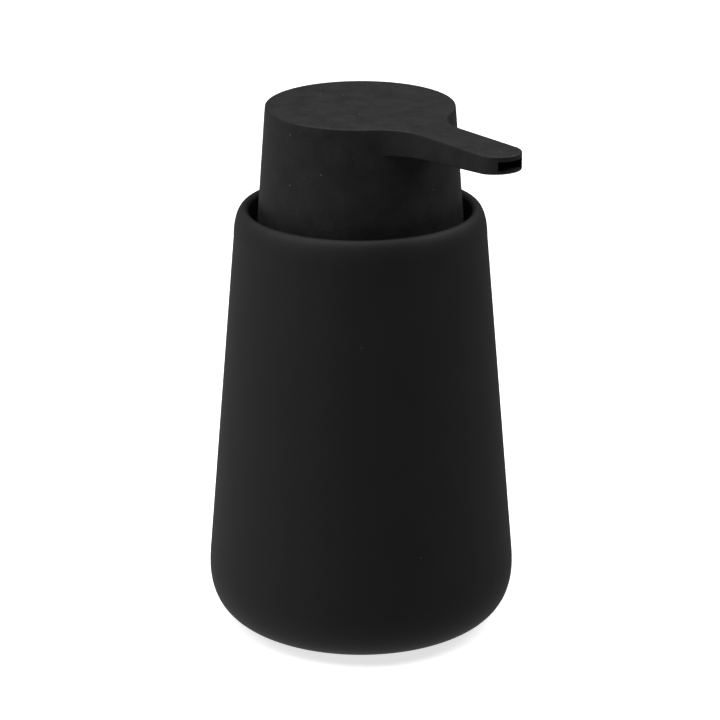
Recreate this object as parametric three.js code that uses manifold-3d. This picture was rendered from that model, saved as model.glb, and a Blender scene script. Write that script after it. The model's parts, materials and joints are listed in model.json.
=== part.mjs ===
// A free-standing soap pump dispenser: a tapered stoneware bottle, a drum-shaped push head with a
// flat beak spout, and between them a lift-out lotion pump carried by a plug in the bottle's mouth.
// Millimetres, +Z up. The origin is the centre of the underside of the base pad, on the table.
// The spout points along +X.
import * as THREE from "three";
import { mergeVertices } from "three/addons/utils/BufferGeometryUtils.js";
import Module from "manifold-3d";

const wasm = await Module();
wasm.setup();

// ---- Driving dimensions ------------------------------------------------------------------------
const OVERALL_HEIGHT = 138.6;
const RIM_HEIGHT = 112;
const TAPER = 0.0855; // the bottle's radius lost per millimetre of height
const CONE_BASE_RADIUS = 41.36; // the taper line's radius at the table, which gives 80 mm across
const HEAD_TOP_RADIUS = 24.07;
const HEAD_TAPER = 0.0743; // the drum's radius gained per millimetre downwards
const STROKE = 12; // how far the head goes down
const LEDGE_HEIGHT = 87.2; // the plug's flange sits on this step inside the mouth
const BARREL_FLOOR = 68; // the bottom of the pump's chamber
const FIT_GAP = 0.15; // between pieces that are fixed together
const RUN_GAP = 0.25; // between pieces that move on each other
const STACK_GAP = 0.1; // between the flanges that the nut clamps

// Facets round a full turn, for large, middling and small radii.
const FINE = 48;
const MEDIUM = 32;
const SMALL = 24;

// ---- The bottle's sizes ------------------------------------------------------------------------
const FOOT = { radius: 24.7, lift: 0.4, rounding: 18.45, exponent: 2.57, steps: 8 }; // lifted by the pad
const LIP = { outerWide: 2.66, outerHigh: 7.85, outerSteps: 5, innerRound: 1.3, innerSteps: 2 };
const MOUTH_RADIUS = 28.5;
const NECK = { radius: 26, depth: 6, shoulder: 6 };
const INSIDE = { wall: 4.2, floor: 5.8, rounding: 15, footStep: 3, steps: 4 };
const PAD = { radius: 21, thickness: 1.2, edge: 0.25, pocketRadius: 21.4, pocketDepth: 0.95 };

// ---- The plug's sizes --------------------------------------------------------------------------
const DECK_UNDER = LEDGE_HEIGHT + 0.3;
const DECK_TOP = DECK_UNDER + 3;
const SKIRT = { outer: 24.3, inner: 22.3, bottom: 80, bead: 0.7, beadHeight: 0.8 };
const SPIGOT = { outer: 13, inner: 9, foot: 84, footStep: 2, top: DECK_TOP + 9.5 };
const PLUG = { flangeRadius: MOUTH_RADIUS - 0.3, recess: 0.8, ribs: 8, ribThickness: 1.2, ribLift: 2 };
const SEAL = { lips: 3, pitch: 2, core: 0.6, reach: NECK.radius - 0.3, lipFoot: 0.1, lipEdge: 0.4 };

// ---- The flanges clamped by the nut, from the plug's spigot upwards ----------------------------
const FLANGE_RADIUS = 12.2;
const GASKET = { bottom: SPIGOT.top + STACK_GAP, thickness: 1.2, clearance: 0.5 };
const HOUSING_FLANGE = { bottom: GASKET.bottom + GASKET.thickness + STACK_GAP, thickness: 1.4 };
const HOUSING_TOP = HOUSING_FLANGE.bottom + HOUSING_FLANGE.thickness;
const CHAPLET_FLANGE = { bottom: HOUSING_TOP + STACK_GAP, thickness: 1.2, radius: FLANGE_RADIUS - 0.4 };
const CHAPLET_FLANGE_TOP = CHAPLET_FLANGE.bottom + CHAPLET_FLANGE.thickness;
const NUT_PLATE_UNDER = CHAPLET_FLANGE_TOP + STACK_GAP;
const NUT = {
  outer: 15.2,
  opening: 6.8,
  bottom: DECK_TOP + 1,
  top: NUT_PLATE_UNDER + 1.5,
  chamfer: 0.8,
  ribs: 24,
  ribProud: 0.5,
  ribThickness: 0.9,
  ribLift: 0.6,
};
const CHAPLET = { collar: 5.8, chamfer: 0.5, top: NUT.top + 1.8, footRoom: 0.3 };

// ---- The pump's sizes --------------------------------------------------------------------------
const BARREL = { radius: 6.2, wall: 1.3, coneTop: 1, coneBottom: 4 };
const VENT = { radius: 0.5, drop: 2.6, sides: 8 };
const VALVE = { chamberRadius: 3.3, seatTop: 61.5, seatBottom: 59.6, throatRadius: 1.8 };
const BALL = { radius: 2.6, gap: 0.1, round: 20, rows: 14 };
const SOCKET = { top: 58, bottom: 50, radius: 3.45, outerRadius: 4.9 };
const TUBE = { outerRadius: 3.3, innerRadius: 2.5, bottom: 9, slant: 35 };
const SPRING = {
  radius: 4.6,
  wire: 0.45,
  turns: 8,
  bottom: 70.5,
  flatness: 0.22,
  stepsPerTurn: 12,
  wireFacets: 3,
};
const CAGE = { noseRadius: 1.1, noseTip: 66, plate: 1.1, wellRadius: 3.6 };
const CAGE_HOLE = { radius: 0.75, at: 2.25, count: 4, sides: 10 };

const STEM = { radius: 3.6, bore: 1.9, bottom: 98.5, top: 128, footRadius: 4.9, foot: 1.5, chamfer: 0.6 };
const ROD = {
  radius: 1.7,
  flangeRadius: 4.5,
  flangeUnder: 93,
  flangeThickness: 1.5,
  tailRadius: 3.4,
  tail: 4,
  tailChamfer: 0.5,
  plug: 6.5, // how far the rod goes up into the stem
  point: 0.5, // the rod's tip is chamfered, to find the stem's bore
  flutes: 4,
  fluteDepth: 0.6,
  fluteWidth: 0.8,
};
const PISTON_PLAY = 0.2; // between the piston and what holds it, above and below
const PISTON = {
  bottom: ROD.flangeUnder + ROD.flangeThickness + PISTON_PLAY,
  top: STEM.bottom - PISTON_PLAY,
  hub: 4.4,
  lipRoot: 4.9,
  lipDrop: 1.1, // how far the lower lip hangs below the hub
  lip: 0.7,
  upperLipRoot: 5.2,
  upperLipRise: 1,
  upperLip: 0.5,
  waist: 0.4,
};

// ---- The head's sizes --------------------------------------------------------------------------
const HEAD = {
  skirt: DECK_TOP + STROKE + 2, // the drum's lower edge at rest, hidden in the mouth
  roof: 2.2,
  wall: 2,
  edge: 0.4,
};
const SPOUT = {
  reach: 59.7, // from the pump's axis to the tip
  halfWidth: 5.75,
  rootRound: 14, // the fillet between the drum's top circle and the spout's side
  rootThickness: 6.65,
  tipThickness: 4.35,
  rootAt: 26,
  arcFacets: 12,
};
// The passage's floor slopes up from the root to the landing, which is level out to the tip.
const SLOT = {
  halfWidth: 3.7,
  roof: 1.3,
  tipFloor: 3.75,
  rootFloor: 5.9,
  landing: SPOUT.reach - 13,
  start: HEAD_TOP_RADIUS - 5, // inside the drum's hollow
  ramp: 2, // the length over which the ceiling goes up from the drum's roof to the slot's
};
const SLOT_SLOPE = (SLOT.rootFloor - SLOT.tipFloor) / (SLOT.landing - SPOUT.rootAt);
const DUCT = {
  halfWidth: 3.1,
  height: 2,
  wall: 0.5,
  start: 6,
  end: SLOT.landing - 0.5,
  slope: Math.atan(SLOT_SLOPE),
};
const NOZZLE = {
  start: SLOT.landing + 0.4,
  end: SPOUT.reach - 6, // well behind the slot's mouth
  gap: 0.12,
  orifice: { halfWidth: 2.2, height: 1 },
};
const CORE = {
  disc: 1.6,
  hubRadius: 5.9,
  hubBottom: 120,
  rimGap: 0.8,
  boreRoof: 1, // the plastic left between the soap's way and the disc
  bossWall: 0.9,
  bossEnd: 12,
  seatBack: 0.2, // the duct's seat starts this far behind the duct
  ribDepth: 6,
  ribThickness: 1.2,
  ribsAt: [60, 120, 180, 240, 300], // the boss takes the place of the rib at 0 degrees
};

// Cutters run past the faces that they open by this much.
const CUT = 1;

// ---- Finishes ----------------------------------------------------------------------------------
const softTouchBlack = new THREE.MeshStandardMaterial({ color: 0x242424, roughness: 0.75, metalness: 0 });
const blackPlastic = new THREE.MeshStandardMaterial({ color: 0x1c1c1d, roughness: 0.5, metalness: 0 });
const naturalPlastic = new THREE.MeshStandardMaterial({ color: 0xe6e6e0, roughness: 0.4, metalness: 0 });
const silicone = new THREE.MeshStandardMaterial({ color: 0x6d6f70, roughness: 0.6, metalness: 0 });
const padRubber = new THREE.MeshStandardMaterial({ color: 0x1a1a1a, roughness: 0.9, metalness: 0 });
const stainless = new THREE.MeshStandardMaterial({ color: 0xb9bcbd, roughness: 0.25, metalness: 1 });

// ---- Solid helpers -----------------------------------------------------------------------------
function mesh(name, geometry, material, z = 0) {
  const made = new THREE.Mesh(geometry, material);
  made.name = name;
  made.position.z = z;
  return made;
}

// A closed geometry as a manifold-3d solid.
function solid(geometry) {
  const bare = geometry.clone();
  bare.deleteAttribute("normal");
  bare.deleteAttribute("uv");
  const merged = mergeVertices(bare, 1e-4);
  return new wasm.Manifold(
    new wasm.Mesh({
      numProp: 3,
      vertProperties: merged.attributes.position.array,
      triVerts: new Uint32Array(merged.index.array),
    }),
  );
}

// A manifold-3d solid as a geometry.
function geometryOf(manifold) {
  const { numProp, numVert, vertProperties, triVerts } = manifold.getMesh();
  const positions = new Float32Array(numVert * 3);
  for (let i = 0; i < numVert; i++) {
    positions.set(vertProperties.subarray(i * numProp, i * numProp + 3), i * 3);
  }
  return new THREE.BufferGeometry()
    .setAttribute("position", new THREE.BufferAttribute(positions, 3))
    .setIndex(new THREE.BufferAttribute(triVerts, 1));
}

// Turns [radius, height] pairs about Z. The outline runs anticlockwise, seen with the axis on its left.
function turned(outline, segments) {
  const points = outline.map(([r, z]) => new THREE.Vector2(r, z));
  const closed = outline[0][0] > 0 || outline.at(-1)[0] > 0;
  if (closed) points.push(points[0].clone());
  return new THREE.LatheGeometry(points, segments).rotateX(Math.PI / 2);
}

// A plain ring or tube with its bottom at z = 0.
function ring(outer, inner, height, segments) {
  return turned([[inner, 0], [outer, 0], [outer, height], [inner, height]], segments);
}

function disc(radius, height, segments) {
  return turned([[0, 0], [radius, 0], [radius, height], [0, height]], segments);
}

function box(x0, x1, y0, y1, z0, z1) {
  return new THREE.BoxGeometry(x1 - x0, y1 - y0, z1 - z0).translate(
    (x0 + x1) / 2,
    (y0 + y1) / 2,
    (z0 + z1) / 2,
  );
}

// A thin upright plate in the XZ plane, the shape of a rib or a flute.
function blade(x0, x1, thickness, z0, z1) {
  return box(x0, x1, -thickness / 2, thickness / 2, z0, z1);
}

// A geometry as a solid with other solids joined to it.
function joined(geometry, others) {
  return others.reduce((whole, one) => whole.add(one), solid(geometry));
}

// A geometry as a solid with other solids cut from it.
function cut(geometry, cutters) {
  return cutters.reduce((left, one) => left.subtract(one), solid(geometry));
}

// Points of an elliptic arc about (r, z), from one angle to another, in degrees.
function arc(r, z, wide, high, from, to, steps) {
  return Array.from({ length: steps + 1 }, (_, i) => {
    const a = THREE.MathUtils.degToRad(from + ((to - from) * i) / steps);
    return [r + wide * Math.cos(a), z + high * Math.sin(a)];
  });
}

// The same solid set round the axis a number of times, starting at an angle in degrees.
function aroundAxis(geometry, count, start = 0) {
  return Array.from({ length: count }, (_, i) =>
    solid(geometry.clone().rotateZ(THREE.MathUtils.degToRad(start + (360 * i) / count))),
  );
}

// ---- The bottle --------------------------------------------------------------------------------
// The lower body rounds in from the taper line to the foot along a superellipse quarter.
function roundedFoot(coneRadius, footRadius, floor, high, steps) {
  return Array.from({ length: steps + 1 }, (_, i) => {
    const a = (Math.PI / 2) * (i / steps);
    const z = floor + high * (1 - Math.cos(a) ** (2 / FOOT.exponent));
    const inward = (coneRadius - footRadius) * (1 - Math.sin(a) ** (2 / FOOT.exponent));
    return [coneRadius - TAPER * z - inward, z];
  });
}

function bottleBody() {
  const lipStart = RIM_HEIGHT - LIP.outerHigh;
  const crest = CONE_BASE_RADIUS - TAPER * lipStart - LIP.outerWide;
  const innerCone = CONE_BASE_RADIUS - INSIDE.wall;
  const innerFoot = FOOT.radius - INSIDE.footStep;
  const neckBottom = LEDGE_HEIGHT - NECK.depth;
  const shoulder = neckBottom - NECK.shoulder;
  const pocketRoof = FOOT.lift + PAD.pocketDepth;
  const underside = [
    [0, pocketRoof],
    [PAD.pocketRadius, pocketRoof],
    [PAD.pocketRadius, FOOT.lift],
  ];
  const mouthRound = [MOUTH_RADIUS + LIP.innerRound, RIM_HEIGHT - LIP.innerRound];
  const outside = [
    ...roundedFoot(CONE_BASE_RADIUS, FOOT.radius, FOOT.lift, FOOT.rounding, FOOT.steps),
    ...arc(crest, lipStart, LIP.outerWide, LIP.outerHigh, 0, 90, LIP.outerSteps),
    ...arc(...mouthRound, LIP.innerRound, LIP.innerRound, 120, 180, LIP.innerSteps),
  ];
  const inside = [
    [MOUTH_RADIUS, LEDGE_HEIGHT],
    [NECK.radius, LEDGE_HEIGHT],
    [NECK.radius, neckBottom],
    [innerCone - TAPER * shoulder, shoulder],
    ...roundedFoot(innerCone, innerFoot, INSIDE.floor, INSIDE.rounding, INSIDE.steps).reverse(),
    [0, INSIDE.floor],
  ];
  return mesh("bottle_body", turned([...underside, ...outside, ...inside], FINE), softTouchBlack);
}

function basePad() {
  const outline = [
    [0, 0],
    [PAD.radius - PAD.edge, 0],
    [PAD.radius, PAD.edge],
    [PAD.radius, PAD.thickness],
    [0, PAD.thickness],
  ];
  return mesh("base_pad", turned(outline, MEDIUM), padRubber);
}

// ---- The plug that carries the pump ------------------------------------------------------------
function pumpPlug() {
  const webUnder = DECK_UNDER + PLUG.recess;
  const beadTop = SKIRT.bottom + SKIRT.beadHeight;
  const outline = [
    [SPIGOT.inner, SPIGOT.foot],
    [SPIGOT.outer - SPIGOT.footStep, SPIGOT.foot],
    [SPIGOT.outer - SPIGOT.footStep, webUnder],
    [SKIRT.inner, webUnder],
    [SKIRT.inner, SKIRT.bottom],
    [SKIRT.outer + SKIRT.bead, SKIRT.bottom],
    [SKIRT.outer + SKIRT.bead, beadTop],
    [SKIRT.outer, beadTop],
    [SKIRT.outer, DECK_UNDER],
    [PLUG.flangeRadius, DECK_UNDER],
    [PLUG.flangeRadius, DECK_TOP],
    [SPIGOT.outer, DECK_TOP],
    [SPIGOT.outer, SPIGOT.top],
    [SPIGOT.inner, SPIGOT.top],
  ];
  const bite = 0.5; // how far a rib runs into the walls that it joins
  const rib = blade(
    SPIGOT.outer - SPIGOT.footStep - bite,
    SKIRT.inner + bite,
    PLUG.ribThickness,
    SKIRT.bottom + PLUG.ribLift,
    webUnder + bite / 2,
  );
  const body = joined(turned(outline, FINE), aroundAxis(rib, PLUG.ribs, 180 / PLUG.ribs));
  return mesh("pump_plug", geometryOf(body), blackPlastic);
}

// A soft ring round the plug's skirt, with lips that grip the bottle's neck.
function plugSealRing() {
  const inner = SKIRT.outer + FIT_GAP;
  const bottom = SKIRT.bottom + SKIRT.beadHeight + FIT_GAP;
  // One lip: the ring's wall, out to the lip's narrow edge, and back to the wall.
  const lipTop = SEAL.pitch - 3 * SEAL.lipFoot;
  const edgeMiddle = (SEAL.lipFoot + lipTop) / 2;
  const lip = [
    [inner + SEAL.core, SEAL.lipFoot],
    [SEAL.reach, edgeMiddle - SEAL.lipEdge / 2],
    [SEAL.reach, edgeMiddle + SEAL.lipEdge / 2],
    [inner + SEAL.core, lipTop],
  ];
  const lips = Array.from({ length: SEAL.lips }, (_, i) =>
    lip.map(([r, rise]) => [r, bottom + i * SEAL.pitch + rise]),
  ).flat();
  const outline = [[inner, bottom], ...lips, [inner, bottom + SEAL.lips * SEAL.pitch]];
  return mesh("plug_seal_ring", turned(outline, FINE), silicone);
}

// ---- The pump's fixed pieces -------------------------------------------------------------------
function housingGasket() {
  const bore = BARREL.radius + BARREL.wall + GASKET.clearance;
  const washer = ring(FLANGE_RADIUS, bore, GASKET.thickness, MEDIUM);
  return mesh("housing_gasket", washer, silicone, GASKET.bottom);
}

function pumpHousing() {
  const outer = BARREL.radius + BARREL.wall;
  const outline = [
    [SOCKET.radius, SOCKET.bottom],
    [SOCKET.outerRadius, SOCKET.bottom],
    [SOCKET.outerRadius, BARREL_FLOOR - BARREL.coneBottom],
    [outer, BARREL_FLOOR - BARREL.coneTop],
    [outer, HOUSING_FLANGE.bottom],
    [FLANGE_RADIUS, HOUSING_FLANGE.bottom],
    [FLANGE_RADIUS, HOUSING_TOP],
    [BARREL.radius, HOUSING_TOP],
    [BARREL.radius, BARREL_FLOOR],
    [VALVE.chamberRadius, BARREL_FLOOR],
    [VALVE.chamberRadius, VALVE.seatTop],
    [VALVE.throatRadius, VALVE.seatBottom],
    [VALVE.throatRadius, SOCKET.top],
    [SOCKET.radius, SOCKET.top],
  ];
  // The hole that lets air into the bottle as the soap goes out.
  const vent = new THREE.CylinderGeometry(VENT.radius, VENT.radius, outer, VENT.sides)
    .rotateZ(Math.PI / 2)
    .translate(outer, 0, HOUSING_FLANGE.bottom - VENT.drop);
  const body = cut(turned(outline, MEDIUM), [solid(vent)]);
  return mesh("pump_housing", geometryOf(body), naturalPlastic);
}

// The cap that keeps the stem in the housing and guides it.
function chaplet() {
  const bore = STEM.radius + RUN_GAP;
  const guide = BARREL.radius - FIT_GAP;
  const guideBottom = STEM.bottom + STEM.foot + CHAPLET.footRoom;
  const outline = [
    [bore, guideBottom],
    [guide, guideBottom],
    [guide, CHAPLET_FLANGE.bottom],
    [CHAPLET_FLANGE.radius, CHAPLET_FLANGE.bottom],
    [CHAPLET_FLANGE.radius, CHAPLET_FLANGE_TOP],
    [CHAPLET.collar, CHAPLET_FLANGE_TOP],
    [CHAPLET.collar, CHAPLET.top - CHAPLET.chamfer],
    [CHAPLET.collar - CHAPLET.chamfer, CHAPLET.top],
    [bore, CHAPLET.top],
  ];
  return mesh("chaplet", turned(outline, MEDIUM), naturalPlastic);
}

// The ribbed nut that clamps the chaplet, housing and gasket onto the plug's spigot.
function closureNut() {
  const bore = SPIGOT.outer + FIT_GAP;
  const outline = [
    [bore, NUT.bottom],
    [NUT.outer, NUT.bottom],
    [NUT.outer, NUT.top - NUT.chamfer],
    [NUT.outer - NUT.chamfer, NUT.top],
    [NUT.opening, NUT.top],
    [NUT.opening, NUT_PLATE_UNDER],
    [bore, NUT_PLATE_UNDER],
  ];
  const bite = 0.3; // how far a rib runs into the nut's wall
  const low = NUT.bottom + NUT.ribLift;
  const high = NUT.top - 2 * NUT.chamfer;
  const rib = blade(NUT.outer - bite, NUT.outer + NUT.ribProud, NUT.ribThickness, low, high);
  const body = joined(turned(outline, FINE), aroundAxis(rib, NUT.ribs));
  return mesh("closure_nut", geometryOf(body), blackPlastic);
}

// The perforated disc over the inlet valve: the spring stands on it and its nose keeps the ball in.
function ballCage() {
  const bottom = BARREL_FLOOR + FIT_GAP;
  const rim = BARREL.radius - FIT_GAP;
  const rimTop = SPRING.bottom - FIT_GAP;
  const outline = [
    [0, CAGE.noseTip],
    [CAGE.noseRadius, CAGE.noseTip],
    [CAGE.noseRadius, bottom],
    [rim, bottom],
    [rim, rimTop],
    [CAGE.wellRadius, rimTop],
    [CAGE.wellRadius, bottom + CAGE.plate],
    [0, bottom + CAGE.plate],
  ];
  const { radius, sides, at, count } = CAGE_HOLE;
  const hole = new THREE.CylinderGeometry(radius, radius, CAGE.plate + 2 * CUT, sides)
    .rotateX(Math.PI / 2)
    .translate(at, 0, bottom + CAGE.plate / 2);
  const body = cut(turned(outline, SMALL), aroundAxis(hole, count));
  return mesh("ball_cage", geometryOf(body), naturalPlastic);
}

function inletBall() {
  const run = VALVE.chamberRadius - VALVE.throatRadius;
  const rise = VALVE.seatTop - VALVE.seatBottom;
  const cosine = rise / Math.hypot(run, rise);
  const sine = Math.sqrt(1 - cosine ** 2);
  // The ball's centre is its radius and a small gap away from the conical seat.
  const centre = VALVE.seatBottom + (BALL.radius + BALL.gap - VALVE.throatRadius * cosine) / sine;
  const sphere = new THREE.SphereGeometry(BALL.radius, BALL.round, BALL.rows);
  return mesh("inlet_ball", sphere, stainless, centre);
}

class Helix extends THREE.Curve {
  constructor(radius, height, turns) {
    super();
    Object.assign(this, { radius, height, turns });
  }
  // The end turns lie almost flat, as on a spring with closed ends.
  getPoint(t, target = new THREE.Vector3()) {
    const a = 2 * Math.PI * this.turns * t;
    const rise = THREE.MathUtils.lerp(t, THREE.MathUtils.smoothstep(t, 0, 1), SPRING.flatness);
    return target.set(this.radius * Math.cos(a), this.radius * Math.sin(a), this.height * rise);
  }
}

function pumpSpring() {
  const height = ROD.flangeUnder - FIT_GAP - SPRING.bottom - 2 * SPRING.wire;
  const section = new THREE.Shape().absarc(0, 0, SPRING.wire, 0, 2 * Math.PI);
  const geometry = new THREE.ExtrudeGeometry(section, {
    steps: SPRING.turns * SPRING.stepsPerTurn,
    curveSegments: SPRING.wireFacets,
    extrudePath: new Helix(SPRING.radius, height, SPRING.turns),
  });
  return mesh("pump_spring", geometry, stainless, SPRING.bottom + SPRING.wire);
}

function dipTube() {
  const outer = TUBE.outerRadius;
  const length = SOCKET.top - FIT_GAP - TUBE.bottom;
  // The lower end is cut on the slant, so it can't seal itself against the bottle's floor.
  const slant = THREE.MathUtils.degToRad(TUBE.slant);
  const big = 6 * outer;
  const cutter = box(-big, big, -big, big, -big, 0).rotateY(slant).translate(0, 0, outer * Math.tan(slant));
  const body = cut(ring(outer, TUBE.innerRadius, length, SMALL), [solid(cutter)]);
  return mesh("dip_tube", geometryOf(body), naturalPlastic, TUBE.bottom);
}

// ---- The pieces that go up and down with the head ----------------------------------------------
// The piston has a hub round the rod and two thin lips that wipe the barrel.
function piston() {
  const { bottom, top, hub, lipRoot, lip, upperLipRoot, upperLip, waist } = PISTON;
  const bore = ROD.radius + RUN_GAP;
  const wipe = BARREL.radius - RUN_GAP;
  const lowerEdge = bottom - PISTON.lipDrop;
  const upperEdge = top + PISTON.upperLipRise;
  const outline = [
    [bore, bottom],
    [hub, bottom],
    [lipRoot, lowerEdge],
    [wipe, lowerEdge],
    [wipe, lowerEdge + lip],
    [wipe - waist, bottom + waist],
    [wipe - waist, top - waist],
    [wipe, top + waist],
    [wipe, upperEdge],
    [wipe - upperLip, upperEdge],
    [upperLipRoot, top],
    [bore, top],
  ];
  return mesh("piston", turned(outline, MEDIUM), naturalPlastic);
}

// The rod plugs into the stem's bore and holds the piston under it. Soap runs up its flutes.
function pistonRod() {
  const flangeTop = ROD.flangeUnder + ROD.flangeThickness;
  const tip = STEM.bottom + ROD.plug;
  const outline = [
    [0, ROD.flangeUnder - ROD.tail],
    [ROD.tailRadius - ROD.tailChamfer, ROD.flangeUnder - ROD.tail],
    [ROD.tailRadius, ROD.flangeUnder - ROD.tail + ROD.tailChamfer],
    [ROD.tailRadius, ROD.flangeUnder],
    [ROD.flangeRadius, ROD.flangeUnder],
    [ROD.flangeRadius, flangeTop],
    [ROD.radius, flangeTop],
    [ROD.radius, tip - ROD.point],
    [ROD.radius - ROD.point, tip],
    [0, tip],
  ];
  const flute = blade(
    ROD.radius - ROD.fluteDepth,
    ROD.radius + CUT,
    ROD.fluteWidth,
    flangeTop + PISTON_PLAY,
    tip + CUT,
  );
  const body = cut(turned(outline, SMALL), aroundAxis(flute, ROD.flutes, 180 / ROD.flutes));
  return mesh("piston_rod", geometryOf(body), naturalPlastic);
}

function stem() {
  const outline = [
    [STEM.bore, STEM.bottom],
    [STEM.footRadius, STEM.bottom],
    [STEM.footRadius, STEM.bottom + STEM.foot],
    [STEM.radius, STEM.bottom + STEM.foot],
    [STEM.radius, STEM.top - STEM.chamfer],
    [STEM.radius - STEM.chamfer, STEM.top],
    [STEM.bore, STEM.top],
  ];
  return mesh("stem", turned(outline, SMALL), naturalPlastic);
}

// ---- The head ----------------------------------------------------------------------------------
function headRadius(z) {
  return HEAD_TOP_RADIUS + HEAD_TAPER * (OVERALL_HEIGHT - z);
}

// The spout seen from above: fillets leave the drum's top circle, straight sides, a round end.
function spoutPlan() {
  const { halfWidth, rootRound, reach } = SPOUT;
  const filletY = halfWidth + rootRound;
  const filletX = Math.sqrt((HEAD_TOP_RADIUS + rootRound) ** 2 - filletY ** 2);
  const lean = Math.atan2(filletY, filletX);
  const start = new THREE.Vector2(Math.cos(lean), -Math.sin(lean)).multiplyScalar(HEAD_TOP_RADIUS);
  return new THREE.Shape()
    .moveTo(0, start.y)
    .lineTo(start.x, start.y)
    .absarc(filletX, -filletY, rootRound, Math.PI - lean, Math.PI / 2, true)
    .absarc(reach - halfWidth, 0, halfWidth, -Math.PI / 2, Math.PI / 2, false)
    .absarc(filletX, filletY, rootRound, -Math.PI / 2, -Math.PI + lean, true)
    .lineTo(0, -start.y)
    .closePath();
}

// A side outline in X and depth below the top, spread along Y to a half width.
function sideSlab(outline, halfWidth) {
  const shape = new THREE.Shape(outline.map(([x, depth]) => new THREE.Vector2(x, -depth)));
  return new THREE.ExtrudeGeometry(shape, { depth: 2 * halfWidth, bevelEnabled: false })
    .rotateX(Math.PI / 2)
    .translate(0, halfWidth, OVERALL_HEIGHT);
}

// The drum, solid, with its top edge chamfered.
function drum() {
  const edgeHeight = OVERALL_HEIGHT - HEAD.edge;
  return turned(
    [
      [0, HEAD.skirt],
      [headRadius(HEAD.skirt), HEAD.skirt],
      [headRadius(edgeHeight), edgeHeight],
      [HEAD_TOP_RADIUS - HEAD.edge, OVERALL_HEIGHT],
      [0, OVERALL_HEIGHT],
    ],
    FINE,
  );
}

// The spout is its plan, cut to a side outline that thins towards the tip.
function spout() {
  const depth = SPOUT.rootThickness + CUT;
  const plan = new THREE.ExtrudeGeometry(spoutPlan(), {
    depth,
    bevelEnabled: false,
    curveSegments: SPOUT.arcFacets,
  });
  const side = [
    [0, 0],
    [0, SPOUT.rootThickness],
    [SPOUT.rootAt, SPOUT.rootThickness],
    [SPOUT.reach + CUT, SPOUT.tipThickness],
    [SPOUT.reach + CUT, 0],
  ];
  return solid(plan.translate(0, 0, OVERALL_HEIGHT - depth)).intersect(
    solid(sideSlab(side, HEAD_TOP_RADIUS)),
  );
}

// The space inside the drum, which holds the core and goes down over the nut.
function drumHollow() {
  const low = HEAD.skirt - CUT;
  const high = OVERALL_HEIGHT - HEAD.roof;
  return turned(
    [
      [0, low],
      [headRadius(low) - HEAD.wall, low],
      [headRadius(high) - HEAD.wall, high],
      [0, high],
    ],
    FINE,
  );
}

// The duct's way out through the drum's wall and along the spout, open at the tip as a slot.
function passage() {
  const out = SPOUT.reach + CUT;
  const side = [
    [SLOT.start, HEAD.roof],
    [SLOT.start, SLOT.rootFloor + SLOT_SLOPE * (SPOUT.rootAt - SLOT.start)],
    [SLOT.landing, SLOT.tipFloor],
    [out, SLOT.tipFloor],
    [out, SLOT.roof],
    [SPOUT.rootAt + SLOT.ramp, SLOT.roof],
    [SPOUT.rootAt, HEAD.roof],
  ];
  return sideSlab(side, SLOT.halfWidth);
}

function headShell() {
  const body = joined(drum(), [spout()]).subtract(solid(drumHollow())).subtract(solid(passage()));
  return mesh("head_shell", geometryOf(body), softTouchBlack);
}

// The height of the duct's underside, which slopes up along the passage's floor.
function ductUnder(x) {
  return OVERALL_HEIGHT - SLOT.rootFloor + FIT_GAP + SLOT_SLOPE * (x - SPOUT.rootAt);
}

// A bar along the duct's line, grown on all sides.
function ductBar(grow, startX, endX) {
  const length = (endX - startX) / Math.cos(DUCT.slope);
  return box(0, length, -DUCT.halfWidth - grow, DUCT.halfWidth + grow, -grow, DUCT.height + grow)
    .rotateY(-DUCT.slope)
    .translate(startX, 0, ductUnder(startX));
}

function deliveryDuct() {
  const channel = solid(ductBar(-DUCT.wall, DUCT.start - CUT, DUCT.end + CUT));
  const body = cut(ductBar(0, DUCT.start, DUCT.end), [channel]);
  return mesh("delivery_duct", geometryOf(body), naturalPlastic);
}

// The dark outlet piece set back in the slot, with a flat orifice.
function nozzleInsert() {
  const top = OVERALL_HEIGHT - SLOT.roof - NOZZLE.gap;
  const bottom = OVERALL_HEIGHT - SLOT.tipFloor + NOZZLE.gap;
  const middle = (top + bottom) / 2;
  const half = SLOT.halfWidth - NOZZLE.gap;
  const { halfWidth, height } = NOZZLE.orifice;
  const orifice = box(
    NOZZLE.start - CUT,
    NOZZLE.end + CUT,
    -halfWidth,
    halfWidth,
    middle - height / 2,
    middle + height / 2,
  );
  const body = cut(box(NOZZLE.start, NOZZLE.end, -half, half, bottom, top), [solid(orifice)]);
  return mesh("nozzle_insert", geometryOf(body), blackPlastic);
}

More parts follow.
